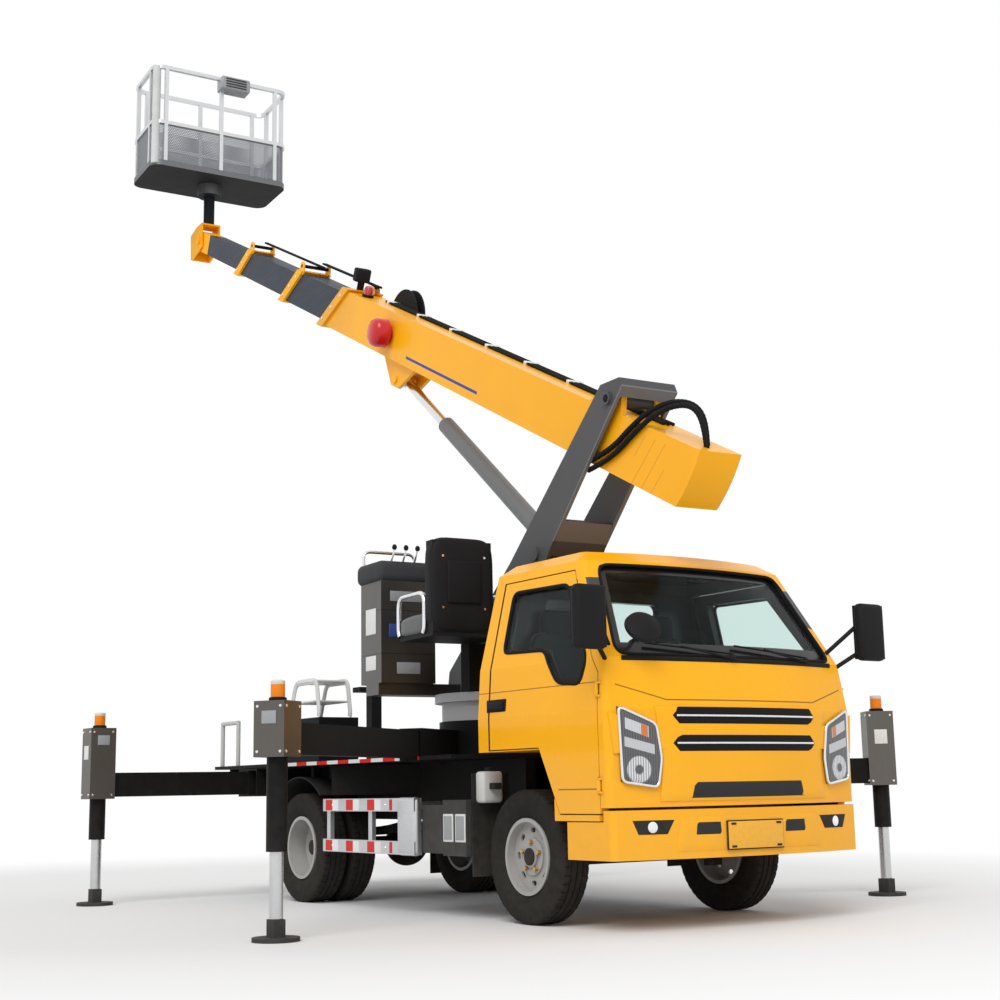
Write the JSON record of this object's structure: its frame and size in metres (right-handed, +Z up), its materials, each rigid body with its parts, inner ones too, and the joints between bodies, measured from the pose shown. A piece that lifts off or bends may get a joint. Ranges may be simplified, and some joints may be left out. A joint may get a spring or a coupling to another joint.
{
  "type": "cherry picker truck",
  "caption": "Light cab-over truck with spread outriggers and a slewing telescopic boom that lifts a level work basket.",
  "frame": {"origin": "on the ground, under the middle of the machine's bounding box", "axes": "+X forward along the truck, +Y to the truck's left, +Z up"},
  "size_m": [9.4046, 4.984, 8.6606],
  "materials": {
    "cab_paint": "gloss yellow paint",
    "boom_paint": "gloss yellow paint",
    "slate_paint": "satin slate paint",
    "column_paint": "satin grey paint",
    "black_paint": "satin black paint",
    "cast": "rough",
    "wheel_steel": "silver paint",
    "tyre": "matt",
    "glass": "tinted",
    "lamp": "clear",
    "black_plastic": "matt",
    "grey_plastic": "matt",
    "seat_cloth": "woven",
    "stainless": "brushed",
    "rod_chrome": "polished",
    "jack_steel": "zinc",
    "alloy": "satin",
    "box_paint": "satin grey paint"
  },
  "bodies": {
    "truck": {"chassis_frame": "black_paint", "front_axle": "black_paint", "rear_axle": "black_paint", "leaf_springs": "black_paint", "engine_block": "cast", "cab_shell": "cab_paint", "cab_front": "cab_paint", "headlamps": "lamp", "grille": "black_plastic", "cab_glass": "glass", "bumper": "cab_paint", "dashboard": "grey_plastic", "cab_seats": "seat_cloth", "steering_wheel": "black_plastic", "mirrors": "black_plastic", "side_guards": "alloy", "side_boxes": "box_paint", "mudguards": "black_plastic", "outrigger_frame": "black_paint", "deck": "black_paint", "deck_fittings": "column_paint"},
    "knuckle_right": {"knuckle_right": "cast"},
    "front_wheel_right": {"front_tyre_right": "tyre", "front_wheel_right": "wheel_steel"},
    "rear_wheel_right": {"rear_tyre_right": "tyre", "rear_wheel_right": "wheel_steel"},
    "door_right": {"door_right": "cab_paint", "door_glass_right": "glass"},
    "knuckle_left": {"knuckle_left": "cast"},
    "front_wheel_left": {"front_tyre_left": "tyre", "front_wheel_left": "wheel_steel"},
    "rear_wheel_left": {"rear_tyre_left": "tyre", "rear_wheel_left": "wheel_steel"},
    "door_left": {"door_left": "cab_paint", "door_glass_left": "glass"},
    "leg_front_right": {"outrigger_beam_front_right": "black_paint", "leg_cover_front_right": "stainless"},
    "jack_front_right": {"jack_front_right": "jack_steel"},
    "leg_front_left": {"outrigger_beam_front_left": "black_paint", "leg_cover_front_left": "stainless"},
    "jack_front_left": {"jack_front_left": "jack_steel"},
    "leg_rear_right": {"outrigger_beam_rear_right": "black_paint", "leg_cover_rear_right": "stainless"},
    "jack_rear_right": {"jack_rear_right": "jack_steel"},
    "leg_rear_left": {"outrigger_beam_rear_left": "black_paint", "leg_cover_rear_left": "stainless"},
    "jack_rear_left": {"jack_rear_left": "jack_steel"},
    "turret": {"turret_column": "column_paint", "control_console": "column_paint", "operator_seat": "black_plastic"},
    "boom_main": {"boom_main": "boom_paint"},
    "boom_second": {"boom_second": "slate_paint"},
    "boom_third": {"boom_third": "slate_paint"},
    "boom_fourth": {"boom_fourth": "slate_paint"},
    "lift_rod": {"lift_rod": "rod_chrome"},
    "lift_barrel": {"lift_barrel": "column_paint"},
    "basket_carrier": {"basket_carrier": "slate_paint"},
    "basket": {"basket_floor": "black_paint", "basket_frame": "alloy"}
  },
  "joints": [
    {"name": "steer_right", "type": "hinge", "parent": "truck", "child": "knuckle_right", "pos_m": [3.563, -0.59, 0.388], "axis": [0, 0, 1], "range_deg": [-35, 35]},
    {"name": "front_wheel_right_spin", "type": "hinge", "parent": "knuckle_right", "child": "front_wheel_right", "pos_m": [3.563, -0.74, 0.388], "axis": [0, 1, 0], "continuous": true},
    {"name": "rear_wheel_right_spin", "type": "hinge", "parent": "truck", "child": "rear_wheel_right", "pos_m": [0.763, -0.805, 0.388], "axis": [0, 1, 0], "continuous": true},
    {"name": "door_right_hinge", "type": "hinge", "parent": "truck", "child": "door_right", "pos_m": [4.425, -0.935, 1.2], "axis": [0, 0, 1], "range_deg": [0, 65]},
    {"name": "steer_left", "type": "hinge", "parent": "truck", "child": "knuckle_left", "pos_m": [3.563, 0.59, 0.388], "axis": [0, 0, 1], "range_deg": [-35, 35]},
    {"name": "front_wheel_left_spin", "type": "hinge", "parent": "knuckle_left", "child": "front_wheel_left", "pos_m": [3.563, 0.74, 0.388], "axis": [0, 1, 0], "continuous": true},
    {"name": "rear_wheel_left_spin", "type": "hinge", "parent": "truck", "child": "rear_wheel_left", "pos_m": [0.763, 0.805, 0.388], "axis": [0, 1, 0], "continuous": true},
    {"name": "door_left_hinge", "type": "hinge", "parent": "truck", "child": "door_left", "pos_m": [4.425, 0.935, 1.2], "axis": [0, 0, -1], "range_deg": [0, 65]},
    {"name": "leg_front_right_slide", "type": "slide", "parent": "truck", "child": "leg_front_right", "axis": [-0.5636, 0.8261, 0], "range_m": [0, 1.45]},
    {"name": "jack_front_right_slide", "type": "slide", "parent": "leg_front_right", "child": "jack_front_right", "axis": [0, 0, 1], "range_m": [0, 0.35]},
    {"name": "leg_front_left_slide", "type": "slide", "parent": "truck", "child": "leg_front_left", "axis": [-0.5636, -0.8261, 0], "range_m": [0, 1.45]},
    {"name": "jack_front_left_slide", "type": "slide", "parent": "leg_front_left", "child": "jack_front_left", "axis": [0, 0, 1], "range_m": [0, 0.35]},
    {"name": "leg_rear_right_slide", "type": "slide", "parent": "truck", "child": "leg_rear_right", "axis": [0, 1, 0], "range_m": [0, 1.05]},
    {"name": "jack_rear_right_slide", "type": "slide", "parent": "leg_rear_right", "child": "jack_rear_right", "axis": [0, 0, 1], "range_m": [0, 0.35]},
    {"name": "leg_rear_left_slide", "type": "slide", "parent": "truck", "child": "leg_rear_left", "axis": [0, -1, 0], "range_m": [0, 1.05]},
    {"name": "jack_rear_left_slide", "type": "slide", "parent": "leg_rear_left", "child": "jack_rear_left", "axis": [0, 0, 1], "range_m": [0, 0.35]},
    {"name": "slew", "type": "hinge", "parent": "truck", "child": "turret", "pos_m": [2.063, 0, 1.247], "axis": [0, 0, 1], "continuous": true},
    {"name": "luff", "type": "hinge", "parent": "turret", "child": "boom_main", "pos_m": [3.86161, -0.12577, 3.155], "axis": [0.0698, 0.9976, 0], "range_deg": [-42, 54]},
    {"name": "boom_second_slide", "type": "slide", "parent": "boom_main", "child": "boom_second", "axis": [-0.8966, 0.0627, 0.4384], "range_m": [-0.95, 3.2]},
    {"name": "boom_third_slide", "type": "slide", "parent": "boom_second", "child": "boom_third", "axis": [-0.8966, 0.0627, 0.4384], "range_m": [-0.95, 3.2]},
    {"name": "boom_fourth_slide", "type": "slide", "parent": "boom_third", "child": "boom_fourth", "axis": [-0.8966, 0.0627, 0.4384], "range_m": [-0.95, 3.2]},
    {"name": "lift_rod_eye", "type": "hinge", "parent": "boom_main", "child": "lift_rod", "pos_m": [0.65469, 0.09848, 4.06428], "axis": [0.0698, 0.9976, 0], "range_deg": [-1.2, 1.2]},
    {"name": "lift_stroke", "type": "slide", "parent": "lift_rod", "child": "lift_barrel", "axis": [0.7934, -0.0555, -0.6062], "range_m": [-0.75, 0.96]},
    {"name": "carrier_level", "type": "hinge", "parent": "boom_fourth", "child": "basket_carrier", "pos_m": [-4.27627, 0.44328, 6.84563], "axis": [0.0698, 0.9976, 0], "range_deg": [-54, 42]},
    {"name": "basket_turn", "type": "hinge", "parent": "basket_carrier", "child": "basket", "pos_m": [-4.27627, 0.44328, 7.4], "axis": [0, 0, 1], "range_deg": [-45, 45]}
  ],
  "couplings": [
    {"joint": "steer_left", "follows": "steer_right", "ratio": 1},
    {"joint": "boom_third_slide", "follows": "boom_second_slide", "ratio": 1},
    {"joint": "boom_fourth_slide", "follows": "boom_second_slide", "ratio": 1},
    {"joint": "lift_rod_eye", "follows": "luff", "ratio": 0.02},
    {"joint": "lift_stroke", "follows": "luff", "m_per_rad": 1},
    {"joint": "carrier_level", "follows": "luff", "ratio": -1}
  ]
}
